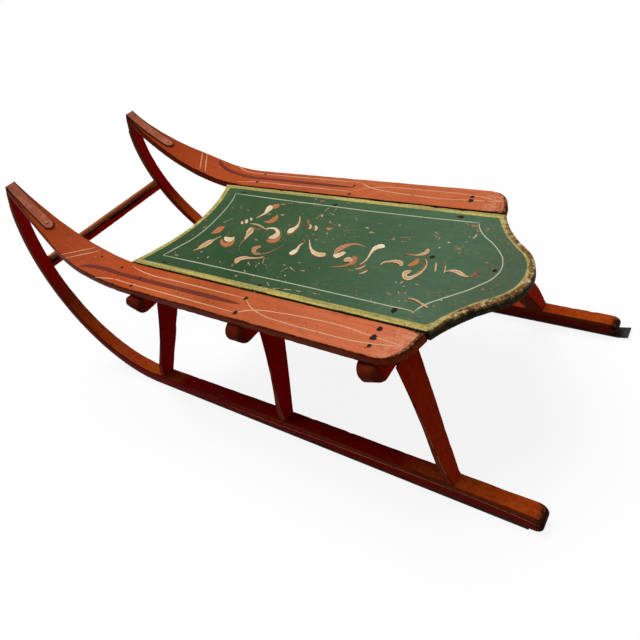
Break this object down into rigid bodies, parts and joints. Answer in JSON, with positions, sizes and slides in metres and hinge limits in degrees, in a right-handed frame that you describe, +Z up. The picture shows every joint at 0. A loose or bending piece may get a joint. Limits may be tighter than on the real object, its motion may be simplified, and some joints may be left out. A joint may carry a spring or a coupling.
{
  "type": "snow sled",
  "caption": "Child's wooden snow sled with a shaped deck between bent side rails, carried by raked knees on bow-fronted runners with iron shoes.",
  "frame": {"origin": "on the ground under the middle of the sled's box", "axes": "+X forward to the bent-up tips, +Y to the rider's left, +Z up"},
  "size_m": [0.96, 0.368, 0.3715],
  "materials": {
    "deck_paint": "old green oil paint with an ochre border and worn edges",
    "rail_paint": "old orange-red oil paint, striped, worn at the edges",
    "red_paint": "old dark red oil paint, rubbed to orange-brown",
    "strap_paint": "flat iron strap painted over with the rails",
    "shoe_iron": "dark worn flat iron"
  },
  "bodies": {
    "root": {"deck": "deck_paint", "rail_left": "rail_paint", "rail_right": "rail_paint", "runner_left": "red_paint", "runner_right": "red_paint", "front_rung": "red_paint", "strap_left": "strap_paint", "strap_right": "strap_paint", "shoe_left": "shoe_iron", "shoe_right": "shoe_iron", "bolster_front": "red_paint", "leg_front_left": "red_paint", "leg_front_right": "red_paint", "bolster_middle": "red_paint", "leg_middle_left": "red_paint", "leg_middle_right": "red_paint", "bolster_rear": "red_paint", "leg_rear_left": "red_paint", "leg_rear_right": "red_paint"}
  },
  "joints": []
}
